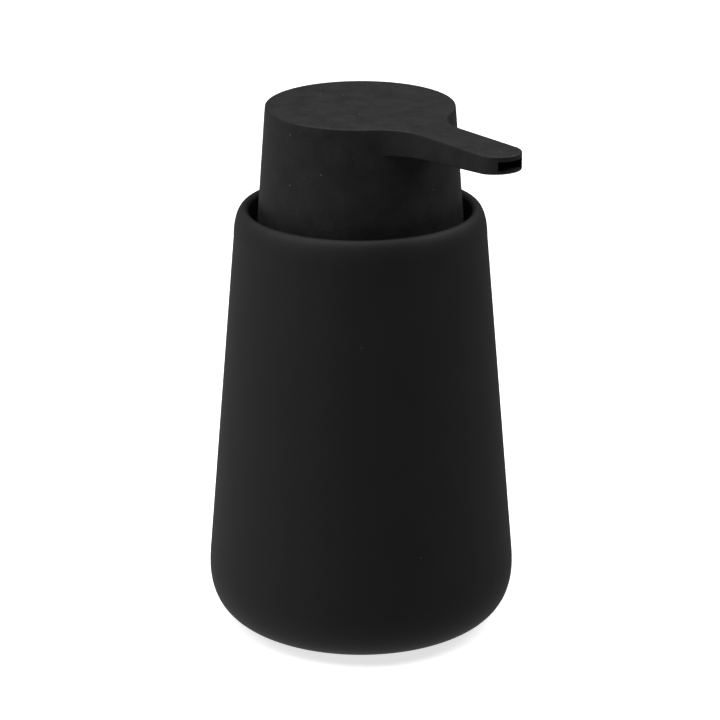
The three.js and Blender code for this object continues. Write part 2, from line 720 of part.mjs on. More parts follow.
// The core hangs under the roof: a disc, a socket for the stem, ribs, and a boss for the duct.
function headCore() {
  const discTop = OVERALL_HEIGHT - HEAD.roof - FIT_GAP;
  const discUnder = discTop - CORE.disc;
  const discRadius = headRadius(discUnder) - HEAD.wall - CORE.rimGap;
  const socket = STEM.radius + FIT_GAP;
  const socketTop = STEM.top + FIT_GAP;
  const boreTop = discUnder - CORE.boreRoof;
  const outline = [
    [socket, CORE.hubBottom],
    [CORE.hubRadius, CORE.hubBottom],
    [CORE.hubRadius, discUnder],
    [discRadius, discUnder],
    [discRadius, discTop],
    [0, discTop],
    [0, boreTop],
    [STEM.bore, boreTop],
    [STEM.bore, socketTop],
    [socket, socketTop],
  ];
  const bite = 0.5; // how far a rib runs into the hub and the disc
  const rib = blade(
    CORE.hubRadius - bite,
    discRadius - 3 * bite,
    CORE.ribThickness,
    discUnder - CORE.ribDepth,
    discUnder + bite,
  );
  const ribs = CORE.ribsAt.map((a) => solid(rib.clone().rotateZ(THREE.MathUtils.degToRad(a))));
  const boss = solid(ductBar(CORE.bossWall, 0, CORE.bossEnd));
  // The boss fills the hub, so the stem's socket and bore and the duct's seat are cut again.
  const ductSeat = ductBar(STACK_GAP, DUCT.start - CORE.seatBack, DUCT.end);
  const ductWay = ductBar(-DUCT.wall, 0, DUCT.start);
  const bore = disc(STEM.bore, boreTop - socketTop + CUT, SMALL).translate(0, 0, socketTop - CUT);
  const socketLow = CORE.hubBottom - CUT;
  const stemSocket = disc(socket, socketTop - socketLow, SMALL).translate(0, 0, socketLow);
  const body = joined(turned(outline, MEDIUM), [boss, ...ribs])
    .subtract(solid(ductSeat))
    .subtract(solid(ductWay))
    .subtract(solid(bore))
    .subtract(solid(stemSocket));
  return mesh("head_core", geometryOf(body), naturalPlastic);
}

// ---- Assembly ----------------------------------------------------------------------------------
const bottle = new THREE.Group().add(bottleBody(), basePad());
const pump = new THREE.Group().add(
  pumpPlug(),
  plugSealRing(),
  housingGasket(),
  pumpHousing(),
  chaplet(),
  closureNut(),
  ballCage(),
  inletBall(),
  pumpSpring(),
  dipTube(),
);
const head = new THREE.Group().add(
  headShell(),
  headCore(),
  deliveryDuct(),
  nozzleInsert(),
  stem(),
  pistonRod(),
  piston(),
);

const dispenser = new THREE.Group().add(bottle, pump, head);
export default dispenser;
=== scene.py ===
"""Looks of a soap pump dispenser: fine surfaces, finishes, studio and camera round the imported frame."""

import json
import logging
import math
from dataclasses import dataclass, field
from enum import Enum

import bmesh
import bpy
import numpy as np
from mathutils import Matrix, Vector

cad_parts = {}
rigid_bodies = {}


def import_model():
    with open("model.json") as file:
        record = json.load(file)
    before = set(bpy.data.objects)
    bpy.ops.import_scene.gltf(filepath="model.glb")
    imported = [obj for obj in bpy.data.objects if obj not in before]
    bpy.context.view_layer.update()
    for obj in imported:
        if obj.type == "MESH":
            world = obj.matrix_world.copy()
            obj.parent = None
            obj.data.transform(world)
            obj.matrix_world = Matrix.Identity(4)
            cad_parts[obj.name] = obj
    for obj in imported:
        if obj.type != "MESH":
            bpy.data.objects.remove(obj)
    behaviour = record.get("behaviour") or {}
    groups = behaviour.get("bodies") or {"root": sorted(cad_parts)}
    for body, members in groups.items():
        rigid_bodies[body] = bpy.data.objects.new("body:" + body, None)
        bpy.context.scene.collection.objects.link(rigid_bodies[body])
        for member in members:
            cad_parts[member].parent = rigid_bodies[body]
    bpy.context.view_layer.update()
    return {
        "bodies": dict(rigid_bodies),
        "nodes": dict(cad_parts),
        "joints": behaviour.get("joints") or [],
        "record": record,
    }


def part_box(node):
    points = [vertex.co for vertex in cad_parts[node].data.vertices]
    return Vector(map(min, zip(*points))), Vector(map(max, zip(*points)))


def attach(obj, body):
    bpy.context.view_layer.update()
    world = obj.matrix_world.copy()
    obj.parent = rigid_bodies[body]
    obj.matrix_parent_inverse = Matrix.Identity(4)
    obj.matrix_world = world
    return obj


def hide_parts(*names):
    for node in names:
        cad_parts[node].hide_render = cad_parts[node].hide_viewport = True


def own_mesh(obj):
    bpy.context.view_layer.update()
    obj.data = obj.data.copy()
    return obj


LOG = logging.getLogger("dispenser")
MM = 0.001
SHARP_ANGLE = math.radians(32)


# ---- Shapes ------------------------------------------------------------------------------------
@dataclass
class Surface:
    """Points in millimetres with the quads and triangles that join them."""

    points: np.ndarray
    quads: np.ndarray = field(default_factory=lambda: np.empty((0, 4), int))
    triangles: np.ndarray = field(default_factory=lambda: np.empty((0, 3), int))

    def __add__(self, other: "Surface") -> "Surface":
        """Both surfaces as one.

        Args:
            other: the surface whose points come after this one's.

        Returns:
            A surface with the points, quads and triangles of both.
        """
        shift = len(self.points)
        return Surface(
            np.vstack((self.points, other.points)),
            np.vstack((self.quads, other.quads + shift)),
            np.vstack((self.triangles, other.triangles + shift)),
        )


def grid_quads(rows: int, columns: int, wrap_rows: bool, wrap_columns: bool) -> np.ndarray:
    """Quads of a grid whose point (row, column) is number row * columns + column.

    Args:
        rows: how many rows of points.
        columns: how many points in a row.
        wrap_rows: joins the last row to the first.
        wrap_columns: joins each row's last point to its first.

    Returns:
        One quad per cell, running along the row first, then to the next row.
    """
    i = np.arange(rows if wrap_rows else rows - 1)[:, None]
    j = np.arange(columns if wrap_columns else columns - 1)[None, :]
    here, after = i * columns, ((i + 1) % rows) * columns
    beside = (j + 1) % columns
    corners = (here + j, here + beside, after + beside, after + j)
    return np.stack(np.broadcast_arrays(*corners), axis=-1).reshape(-1, 4)


def capped_grid(points: np.ndarray, start: np.ndarray, end: np.ndarray) -> Surface:
    """A grid of closed rings, with a fan to a pole at its first and last ring.

    Args:
        points: rings x columns x 3.
        start: the pole before the first ring.
        end: the pole after the last ring.

    Returns:
        A closed surface.
    """
    rings, columns, _ = points.shape
    j = np.arange(columns)
    beside = (j + 1) % columns
    last = (rings - 1) * columns
    first_pole = rings * columns
    fans = np.vstack(
        (
            np.stack((np.full(columns, first_pole), beside, j), axis=-1),
            np.stack((np.full(columns, first_pole + 1), last + j, last + beside), axis=-1),
        )
    )
    return Surface(
        np.vstack((points.reshape(-1, 3), start, end)),
        grid_quads(rings, columns, False, True),
        fans,
    )


def rounded(corners: list[tuple[float, ...]], steps: int = 5) -> np.ndarray:
    """An outline whose corners are rounded.

    Each corner is (radius, height) or (radius, height, rounding). A rounded corner becomes the arc
    tangent to both its sides, cut to less than half the shorter side.

    Args:
        corners: the outline's corners, in order.
        steps: how many chords an arc has.

    Returns:
        The outline's points, as an n x 2 array.
    """
    places = np.array([c[:2] for c in corners], float)
    out: list[np.ndarray] = []
    for k, corner in enumerate(corners):
        here = places[k]
        size = corner[2] if len(corner) > 2 else 0.0
        back = places[k - 1] - here
        ahead = places[(k + 1) % len(places)] - here
        if size <= 0:
            out.append(here[None])
            continue
        reach_back, reach_ahead = np.linalg.norm(back), np.linalg.norm(ahead)
        back, ahead = back / reach_back, ahead / reach_ahead
        turn = math.acos(float(np.clip(back @ ahead, -1, 1)))
        reach = min(size / math.tan(turn / 2), 0.48 * reach_back, 0.48 * reach_ahead)
        size = reach * math.tan(turn / 2)
        middle = here + (back + ahead) / np.linalg.norm(back + ahead) * size / math.sin(turn / 2)
        first, last = here + back * reach - middle, here + ahead * reach - middle
        sweep = math.atan2(first[0] * last[1] - first[1] * last[0], float(first @ last))
        angle = np.linspace(0, sweep, steps + 1)
        cosine, sine = np.cos(angle), np.sin(angle)
        arc = np.stack((first[0] * cosine - first[1] * sine, first[0] * sine + first[1] * cosine), -1)
        out.append(middle + arc)
    return np.vstack(out)


def revolve(outline: np.ndarray, segments: int = 128) -> Surface:
    """A closed outline of (radius, height) turned about Z.

    The point at angle a is (r cos a, r sin a, z). An outline that starts and ends on the axis gets
    a pole at each end, and any other is joined to itself as a ring.

    Args:
        outline: n x 2, anticlockwise with the axis on its left.
        segments: how many steps make the full turn.

    Returns:
        A closed surface.
    """
    angle = np.linspace(0, 2 * math.pi, segments, endpoint=False)
    on_axis = outline[0, 0] < 1e-9 and outline[-1, 0] < 1e-9
    kept = outline[1:-1] if on_axis else outline
    r, z = kept[:, :1], kept[:, 1:]
    points = np.stack((r * np.cos(angle), r * np.sin(angle), z + 0 * angle), axis=-1)
    if on_axis:
        poles = [np.array([0, 0, h]) for h in (outline[0, 1], outline[-1, 1])]
        return capped_grid(points, *poles)
    return Surface(points.reshape(-1, 3), grid_quads(len(kept), segments, True, True))


def turned(corners: list[tuple[float, ...]], segments: int = 128) -> Surface:
    """The rounded outline of these corners, turned about Z."""
    return revolve(rounded(corners), segments)


def tube_along(path: np.ndarray, tangent: np.ndarray, radius: float, sides: int = 14) -> Surface:
    """A round bar with flat ends along a path.

    Each section is the circle in the plane of the path's normal and Z-ward binormal.

    Args:
        path: n x 3 points.
        tangent: n x 3 unit directions.
        radius: the bar's radius.
        sides: points round a section.

    Returns:
        A closed surface.
    """
    normal = path * np.array([1, 1, 0])
    normal /= np.linalg.norm(normal, axis=1, keepdims=True)
    binormal = np.cross(tangent, normal)
    angle = np.linspace(0, 2 * math.pi, sides, endpoint=False)[None, :, None]
    points = path[:, None] + radius * (np.cos(angle) * normal[:, None] + np.sin(angle) * binormal[:, None])
    return capped_grid(points, path[0], path[-1])


def make_piece(name: str, surface: Surface, material: bpy.types.Material) -> bpy.types.Object:
    """A new object with its place in its mesh.

    Args:
        name: the piece's name.
        surface: its closed surface, in millimetres.
        material: its finish.

    Returns:
        The linked object, smooth apart from its sharp edges.
    """
    mesh = bpy.data.meshes.new(name)
    faces = surface.quads.tolist() + surface.triangles.tolist()
    mesh.from_pydata((surface.points * MM).tolist(), [], faces)
    edit = bmesh.new()
    edit.from_mesh(mesh)
    bmesh.ops.remove_doubles(edit, verts=edit.verts, dist=1e-7)
    bmesh.ops.recalc_face_normals(edit, faces=edit.faces)
    edit.to_mesh(mesh)
    edit.free()
    mesh.shade_smooth()
    mesh.set_sharp_from_angle(angle=SHARP_ANGLE)
    mesh.materials.append(material)
    piece = bpy.data.objects.new(name, mesh)
    bpy.context.scene.collection.objects.link(piece)
    return piece


# ---- Node trees and finishes -------------------------------------------------------------------
def linear(code: str) -> tuple[float, float, float, float]:
    """An sRGB hex colour as linear light.

    Args:
        code: six hex digits, such as 1e1e1e.

    Returns:
        Linear red, green and blue, with alpha 1.
    """
    parts = [int(code[k : k + 2], 16) / 255 for k in (0, 2, 4)]
    light = [p / 12.92 if p <= 0.04045 else ((p + 0.055) / 1.055) ** 2.4 for p in parts]
    return (*light, 1.0)


def add_node(tree: bpy.types.NodeTree, kind: str, settings: dict | None = None, **links) -> bpy.types.Node:
    """Adds a node with its settings and links.

    Args:
        tree: the tree it joins.
        kind: the node's type, such as ShaderNodeBump.
        settings: values by name. A name of an input socket sets it, and any other is an attribute.
        links: an output socket for each named input, with _ for a space.

    Returns:
        The node.
    """
    node = tree.nodes.new(kind)
    for name, value in (settings or {}).items():
        if name in node.inputs:
            node.inputs[name].default_value = value
        else:
            setattr(node, name, value)
    for name, socket in links.items():
        tree.links.new(socket, node.inputs[name.replace("_", " ")])
    return node


def per_metre(size_mm: float) -> float:
    """The noise scale, in repeats a metre, of a grain this many millimetres across."""
    return 1 / (size_mm * MM)


def blank_material(name: str) -> tuple[bpy.types.Material, bpy.types.NodeTree, bpy.types.NodeSocket]:
    """An empty node material.

    Args:
        name: its name.

    Returns:
        The material, its tree, and the piece's own coordinates in metres.
    """
    material = bpy.data.materials.new(name)
    material.use_nodes = True
    material.node_tree.nodes.clear()
    place = add_node(material.node_tree, "ShaderNodeTexCoord").outputs["Object"]
    return material, material.node_tree, place


@dataclass(frozen=True)
class GrainedFinish:
    """A moulded, coated or rubbery surface: an even colour, a fine grain and slow uneven patches.

    The grain is Perlin noise read as height, the patches shift the colour a little towards a second
    one, and the same patches make the gloss wander.
    """

    name: str
    colour: str
    patch_colour: str
    roughness: float
    roughness_spread: float = 0.06
    grain_mm: float = 0.4
    grain_depth_mm: float = 0.01
    patch_mm: float = 14.0
    patch_detail: float = 4.0
    patch_contrast: float = 1.0
    ior: float = 1.5
    scatter: float = 0.0
    mote_spacing_mm: float = 0.0
    mote_strength: float = 0.2

    def build(self) -> bpy.types.Material:
        """The finish as a material.

        Returns:
            The material, with its nodes.
        """
        material, tree, place = blank_material(self.name)
        grain = add_node(
            tree,
            "ShaderNodeTexNoise",
            {"Scale": per_metre(self.grain_mm), "Detail": 3.0, "Roughness": 0.6},
            Vector=place,
        )
        patches = add_node(
            tree,
            "ShaderNodeTexNoise",
            {"Scale": per_metre(self.patch_mm), "Detail": self.patch_detail, "Roughness": 0.6},
            Vector=place,
        )
        # Noise keeps near its middle value, so the contrast is a stretch about one half.
        half_range = 0.5 / self.patch_contrast
        share = add_node(
            tree,
            "ShaderNodeMapRange",
            {"From Min": 0.5 - half_range, "From Max": 0.5 + half_range},
            Value=patches.outputs["Fac"],
        )
        colour = add_node(tree, "ShaderNodeMix", {"data_type": "RGBA"}, Factor=share.outputs["Result"])
        colour.inputs[6].default_value = linear(self.colour)
        colour.inputs[7].default_value = linear(self.patch_colour)
        tone = colour.outputs[2]
        if self.mote_spacing_mm:
            tone = self.dusted(tree, place, tone)
        gloss = add_node(
            tree,
            "ShaderNodeMapRange",
            {
                "To Min": self.roughness - self.roughness_spread,
                "To Max": self.roughness + self.roughness_spread,
            },
            Value=patches.outputs["Fac"],
        )
        bump = add_node(
            tree,
            "ShaderNodeBump",
            {"Strength": 1.0, "Distance": self.grain_depth_mm * MM},
            Height=grain.outputs["Fac"],
        )
        shader = add_node(
            tree,
            "ShaderNodeBsdfPrincipled",
            {
                "IOR": self.ior,
                "Subsurface Weight": self.scatter,
                "Subsurface Scale": 2 * MM,
            },
            Base_Color=tone,
            Roughness=gloss.outputs["Result"],
            Normal=bump.outputs["Normal"],
        )
        add_node(tree, "ShaderNodeOutputMaterial", Surface=shader.outputs["BSDF"])
        return material

    def dusted(
        self, tree: bpy.types.NodeTree, place: bpy.types.NodeSocket, tone: bpy.types.NodeSocket
    ) -> bpy.types.NodeSocket:
        """The colour with sparse pale motes of dust: the cores of the cells of a Voronoi pattern.

        A cell's core is a ball, and only those that the surface happens to cut can be seen.

        Args:
            tree: the tree.
            place: coordinates in metres.
            tone: the colour under the dust.

        Returns:
            The dusted colour.
        """
        mote_radius_mm = 0.2
        rim = mote_radius_mm / self.mote_spacing_mm
        cells = add_node(
            tree, "ShaderNodeTexVoronoi", {"Scale": per_metre(self.mote_spacing_mm)}, Vector=place
        )
        core = add_node(
            tree,
            "ShaderNodeMapRange",
            {"From Min": rim, "From Max": rim / 2, "To Max": self.mote_strength},
            Value=cells.outputs["Distance"],
        )
        mixed = add_node(tree, "ShaderNodeMix", {"data_type": "RGBA"}, Factor=core.outputs["Result"])
        mixed.inputs[7].default_value = linear("9a9a98")
        tree.links.new(tone, mixed.inputs[6])
        return mixed.outputs[2]


@dataclass(frozen=True)
class DrawnSteelFinish:
    """Stainless steel with fine scratches: noise squeezed across the direction of drawing."""

    name: str
    colour: str = "c9cbcc"
    roughness: float = 0.22
    scratch_mm: float = 0.25

    def build(self) -> bpy.types.Material:
        """The finish as a material.

        Returns:
            The material, with its nodes.
        """
        material, tree, place = blank_material(self.name)
        scratches = add_node(
            tree,
            "ShaderNodeTexNoise",
            {"Scale": per_metre(self.scratch_mm), "Detail": 2.0},
            Vector=place,
        )
        gloss = add_node(
            tree,
            "ShaderNodeMapRange",
            {"To Min": self.roughness - 0.08, "To Max": self.roughness + 0.12},
            Value=scratches.outputs["Fac"],
        )
        bump = add_node(
            tree, "ShaderNodeBump", {"Strength": 0.5, "Distance": 0.002 * MM}, Height=scratches.outputs["Fac"]
        )
        shader = add_node(
            tree,
            "ShaderNodeBsdfPrincipled",
            {"Base Color": linear(self.colour), "Metallic": 1.0},
            Roughness=gloss.outputs["Result"],
            Normal=bump.outputs["Normal"],
        )
        add_node(tree, "ShaderNodeOutputMaterial", Surface=shader.outputs["BSDF"])
        return material


class Finish(Enum):
    """Every finish on the dispenser, by what it is made of and how."""

    # Fired stoneware with a sprayed soft-touch coat: dead matt, finely pebbled, pale at grazing angles.
    STONEWARE = GrainedFinish(
        "soft_touch_coated_stoneware", "191919", "1e1e1e", 0.62,
        grain_mm=0.6, grain_depth_mm=0.03, patch_contrast=1.4, ior=1.3, mote_spacing_mm=9.0,
    )
    # Moulded ABS with the same coat. Both coats' grain is drawn coarser than a real coat's, so that it
    # still shows from a metre away, and the head's coarser than the bottle's.
    COATED_ABS = GrainedFinish(
        "soft_touch_coated_abs", "101010", "202020", 0.6,
        grain_mm=0.9, grain_depth_mm=0.11, patch_mm=5.0, patch_detail=6.0, patch_contrast=2.0,
        ior=1.32, mote_spacing_mm=3.8, mote_strength=0.36,
    )
    # Moulded black polypropylene with a satin tool texture.
    BLACK_PP = GrainedFinish("moulded_black_polypropylene", "151516", "1b1b1c", 0.42, grain_mm=0.3)
    # Unpigmented polypropylene: milky, waxy, and a little light goes through it.
    NATURAL_PP = GrainedFinish(
        "moulded_natural_polypropylene", "dcdcd6", "e6e6e1", 0.34,
        grain_mm=0.8, grain_depth_mm=0.004, scatter=0.5,
    )
    # Pressed silicone: soft grey, with a dull skin.
    SILICONE = GrainedFinish(
        "pressed_grey_silicone", "6a6c6d", "737576", 0.55, grain_mm=0.5, grain_depth_mm=0.006, scatter=0.1
    )
    # Die-cut rubber sheet: dull black with a coarse calendered grain.
    RUBBER = GrainedFinish(
        "die_cut_black_rubber", "141414", "1c1c1c", 0.85, grain_mm=0.9, grain_depth_mm=0.05
    )
    # Cold-drawn stainless wire and ground balls.
    STAINLESS = DrawnSteelFinish("drawn_stainless_steel")


class Wardrobe:
    """Builds each finish once and hands it out."""

    def __init__(self) -> None:
        """Starts with no finish built."""
        self.built: dict[Finish, bpy.types.Material] = {}

    def __call__(self, finish: Finish) -> bpy.types.Material:
        """Hands out a finish.

        Args:
            finish: the finish wanted.

        Returns:
            Its material, built the first time it's asked for.
        """
        if finish not in self.built:
            self.built[finish] = finish.value.build()
        return self.built[finish]


@dataclass
class SubAssembly:
    """Pieces that ride on one body of the frame."""

    frame: dict
    wardrobe: Wardrobe

    def fit(self, name: str, surface: Surface, finish: Finish, body: str, node: str) -> bpy.types.Object:
        """Makes a fine piece that stands for a node of the frame.

        Args:
            name: the piece's name.
            surface: its closed surface.
            finish: its finish.
            body: the body it rides on.
            node: the node it stands for.

        Returns:
            The piece.
        """
        piece = make_piece(name, surface, self.wardrobe(finish))
        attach(piece, body)
        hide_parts(node)
        LOG.info("%s: %d faces on %s", name, len(piece.data.polygons), body)
        return piece

    def dress(self, node: str, finish: Finish) -> None:
        """Gives a node of the frame its finish, keeping its shape.

        Args:
            node: the node's name.
            finish: its finish.
        """
        piece = self.frame["nodes"][node]
        piece.data.materials.clear()
        piece.data.materials.append(self.wardrobe(finish))
        LOG.info("%s dressed in %s", node, finish.value.name)


# ---- The bottle --------------------------------------------------------------------------------
@dataclass
class Bottle(SubAssembly):
    """The stoneware bottle and the pad it stands on. Sizes are in millimetres."""

    cone: float = 41.36
    taper: float = 0.0855
    foot_exponent: float = 2.57
    foot_radius: float = 24.7
    foot_lift: float = 0.4
    foot_rounding: float = 18.45
    wall: float = 4.2
    lip_wide: float = 2.66
    lip_high: float = 7.85
    lip_inner: float = 1.3
    mouth_radius: float = 28.5
    ledge: float = 87.2
    neck_radius: float = 26.0
    neck_depth: float = 6.0
    shoulder_depth: float = 12.0
    floor: float = 5.8
    bowl_rounding: float = 15.0
    bowl_step: float = 3.0
    pad_radius: float = 21.0
    pad_height: float = 1.2
    pocket_radius: float = 21.4
    pocket_depth: float = 0.95

    def rounded_foot(self, cone: float, foot: float, low: float, high: float, steps: int) -> np.ndarray:
        """The rounding from the foot up to the taper line, a superellipse quarter.

        Height runs as 1 - cos(a)^(2/n) and the inward step as 1 - sin(a)^(2/n), with a over a
        quarter turn and n the exponent.

        Args:
            cone: the taper line's radius at the table.
            foot: how far the flat foot reaches.
            low: the foot's height.
            high: the rounding's height.
            steps: how many chords it has.

        Returns:
            (radius, height) pairs, upwards.
        """
        a = np.linspace(0, math.pi / 2, steps + 1)
        power = 2 / self.foot_exponent
        z = low + high * (1 - np.clip(np.cos(a), 0, 1) ** power)
        r = cone - self.taper * z - (cone - foot) * (1 - np.sin(a) ** power)
        return np.stack((r, z), axis=-1)

    def build_body(self) -> None:
        """The bottle's wall: underside, foot, taper, lip, mouth, ledge and inside, turned as one."""
        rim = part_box("bottle_body")[1].z / MM
        lip_start = rim - self.lip_high
        crest = self.cone - self.taper * lip_start - self.lip_wide
        a = np.linspace(0, math.pi / 2, 20)
        outer_lip = np.stack(
            (crest + self.lip_wide * np.cos(a), lip_start + self.lip_high * np.sin(a)), axis=-1
        )
        a = np.linspace(math.pi / 2, math.pi, 14)
        inner_lip = np.stack(
            (
                self.mouth_radius + self.lip_inner * (1 + np.cos(a)),
                rim - self.lip_inner * (1 - np.sin(a)),
            ),
            axis=-1,
        )
        taper_rows = np.linspace(self.foot_lift + self.foot_rounding, lip_start, 26)[1:-1]
        side = np.stack((self.cone - self.taper * taper_rows, taper_rows), axis=-1)
        shoulder = self.ledge - self.shoulder_depth
        inner_cone = self.cone - self.wall
        pocket = self.foot_lift + self.pocket_depth
        underside = np.array(
            [[0, pocket], [self.pocket_radius, pocket], [self.pocket_radius, self.foot_lift]]
        )
        inside = np.array(
            [
                [self.mouth_radius, self.ledge],
                [self.neck_radius, self.ledge],
                [self.neck_radius, self.ledge - self.neck_depth],
                [inner_cone - self.taper * shoulder, shoulder],
            ]
        )
        bowl_foot = self.foot_radius - self.bowl_step
        bowl = self.rounded_foot(inner_cone, bowl_foot, self.floor, self.bowl_rounding, steps=20)[::-1]
        foot = self.rounded_foot(
            self.cone, self.foot_radius, self.foot_lift, self.foot_rounding, steps=60
        )
        outline = np.vstack(
            (
                underside,
                foot,
                side,
                outer_lip,
                inner_lip,
                inside,
                bowl,
                [[0, self.floor]],
            )
        )
        self.fit("bottle", revolve(outline, 256), Finish.STONEWARE, "bottle", "bottle_body")

    def build_pad(self) -> None:
        """The rubber pad, a disc with a soft lower edge."""
        corners = [
            (0, 0),
            (self.pad_radius, 0, 0.3),
            (self.pad_radius, self.pad_height, 0.1),
            (0, self.pad_height),
        ]
        self.fit("foot_pad", turned(corners), Finish.RUBBER, "bottle", "base_pad")

    def build(self) -> None:
        """Both pieces."""
        self.build_body()
        self.build_pad()


# ---- The pump ----------------------------------------------------------------------------------
@dataclass
class Pump(SubAssembly):
    """The plug in the mouth and the pump's fixed pieces. Sizes are in millimetres."""

    fit_gap: float = 0.15
    run_gap: float = 0.25
    deck: float = 90.5
    deck_thickness: float = 3.0
    web_recess: float = 0.8
    plug_flange: float = 28.2
    skirt_outer: float = 24.3
    skirt_inner: float = 22.3
    skirt_bottom: float = 80.0
    bead: float = 0.7
    bead_height: float = 0.8
    spigot_outer: float = 13.0
    spigot_inner: float = 9.0
    spigot_foot: float = 84.0
    spigot_step: float = 2.0
    spigot_rise: float = 9.5
    plug_ribs: int = 8
    rib_thickness: float = 1.2
    rib_bite: float = 0.5
    rib_low: float = 82.0
    rib_high: float = 88.5
    seal_lips: int = 3
    seal_pitch: float = 2.0
    seal_core: float = 0.6
    seal_reach: float = 25.7
    nut_ribs: int = 24
    nut_radius: float = 15.2
    nut_rib_high: float = 0.5
    nut_plate: float = 104.2
    nut_top: float = 105.7
    nut_opening: float = 6.8
    barrel: float = 6.2
    barrel_wall: float = 1.3
    barrel_floor: float = 68.0
    barrel_cone: tuple[float, float] = (64.0, 67.0)
    flange: float = 12.2
    flange_heights: tuple[float, float] = (101.4, 102.8)
    chamber_radius: float = 3.3
    throat_radius: float = 1.8
    seat_heights: tuple[float, float] = (59.6, 61.5)
    socket_radius: float = 3.45
    socket_outer: float = 4.9
    socket_heights: tuple[float, float] = (50.0, 58.0)
    gasket_bottom: float = 100.1
    gasket_thickness: float = 1.2
    gasket_clearance: float = 0.5
    guide_bottom: float = 100.3
    guide_flange: float = 11.8
    guide_flange_heights: tuple[float, float] = (102.9, 104.1)
    guide_collar: float = 5.8
    guide_top: float = 107.5
    stem_radius: float = 3.6
    spring_radius: float = 4.6
    spring_wire: float = 0.45
    spring_turns: int = 8
    spring_flatness: float = 0.22
    tube_outer: float = 3.3
    tube_inner: float = 2.5
    tube_cut: float = 35.0

    def rib_blades(self) -> Surface:
        """The thin blades between the plug's spigot and skirt, each a box turned to its place.

        Returns:
            All the blades as one surface.
        """
        spans = (
            (self.spigot_outer - self.spigot_step - self.rib_bite, self.skirt_inner + self.rib_bite),
            (-self.rib_thickness / 2, self.rib_thickness / 2),
            (self.rib_low, self.rib_high),
        )
        corners = np.array([[x, y, z] for x in spans[0] for y in spans[1] for z in spans[2]])
        # The six sides of a box whose corner number is 4 x + 2 y + z, with 0 for low and 1 for high.
        sides = np.array(
            [[0, 1, 3, 2], [4, 6, 7, 5], [0, 4, 5, 1], [2, 3, 7, 6], [0, 2, 6, 4], [1, 5, 7, 3]]
        )
        turn = np.radians((0.5 + np.arange(self.plug_ribs)) * 360 / self.plug_ribs)[:, None]
        x, y, z = corners.T
        points = np.stack(
            (x * np.cos(turn) - y * np.sin(turn), x * np.sin(turn) + y * np.cos(turn), z + 0 * turn), axis=-1
        )
        shift = len(corners) * np.arange(self.plug_ribs)[:, None, None]
        return Surface(points.reshape(-1, 3), (sides + shift).reshape(-1, 4))

    def build_plug(self) -> None:
        """The plug: flange, sealing skirt and the spigot that the nut screws to."""
        under = self.deck - self.deck_thickness
        web = under + self.web_recess
        foot = self.spigot_outer - self.spigot_step
        bead_radius = self.skirt_outer + self.bead
        bead_top = self.skirt_bottom + self.bead_height
        spigot_top = self.deck + self.spigot_rise
        corners = [
            (self.spigot_inner, self.spigot_foot),
            (foot, self.spigot_foot, 0.4),
            (foot, web),
            (self.skirt_inner, web),
            (self.skirt_inner, self.skirt_bottom),
            (bead_radius, self.skirt_bottom, 0.2),
            (bead_radius, bead_top, 0.2),
            (self.skirt_outer, bead_top),
            (self.skirt_outer, under),
            (self.plug_flange, under, 0.3),
            (self.plug_flange, self.deck, 0.5),
            (self.spigot_outer, self.deck),
            (self.spigot_outer, spigot_top, 0.4),
            (self.spigot_inner, spigot_top),
        ]
        surface = turned(corners, 160) + self.rib_blades()
        self.fit("plug", surface, Finish.BLACK_PP, "pump", "pump_plug")

    def build_seal(self) -> None:
        """The silicone ring: three lips whose edge is rounded."""
        inner = self.skirt_outer + self.fit_gap
        bottom = self.skirt_bottom + self.bead_height + self.fit_gap
        # One lip's radii, rises above the lip's foot, and roundings: out to its edge and back.
        lip = (
            (inner + self.seal_core, 0.1, 0.0),
            (self.seal_reach, 0.7, 0.2),
            (self.seal_reach, 1.1, 0.2),
            (inner + self.seal_core, 1.7, 0.0),
        )
        feet = [bottom + k * self.seal_pitch for k in range(self.seal_lips)]
        lips = [(radius, foot + rise, rounding) for foot in feet for radius, rise, rounding in lip]
        outline = [(inner, bottom), *lips, (inner, bottom + self.seal_lips * self.seal_pitch)]
        self.fit("seal_ring", turned(outline, 160), Finish.SILICONE, "pump", "plug_seal_ring")

    def build_nut(self) -> None:
        """The nut, whose side swells outwards in narrow ribs.

        Between the ribs' ends the radius grows by the rib's height times a narrow bell in the
        angle, repeated for each rib.
        """
        bottom, top = self.deck + 1, self.nut_top
        bore = self.spigot_outer + self.fit_gap
        # The ribs start and end between the first and second of these pairs of heights.
        rib_start, rib_end = (bottom + 0.9, bottom + 1.2), (top - 2.2, top - 1.8)
        corners = [
            (bore, bottom),
            (self.nut_radius, bottom, 0.3),
            *((self.nut_radius, height) for height in rib_start + rib_end),
            (self.nut_radius, top, 0.8),
            (self.nut_opening, top, 0.2),
            (self.nut_opening, self.nut_plate),
            (bore, self.nut_plate),
        ]
        columns_per_rib = 12
        surface = turned(corners, self.nut_ribs * columns_per_rib)
        x, y, z = surface.points.T
        radius = np.hypot(x, y)
        bell = np.clip(np.cos(self.nut_ribs * np.arctan2(y, x)), 0, 1) ** 3
        on_side = radius > self.nut_radius - 0.01
        ribbed = on_side & (z > sum(rib_start) / 2) & (z < sum(rib_end) / 2)
        grown = np.where(ribbed, radius + self.nut_rib_high * bell, radius) / radius
        surface.points[:, :2] *= grown[:, None]
        self.fit("nut", surface, Finish.BLACK_PP, "pump", "closure_nut")

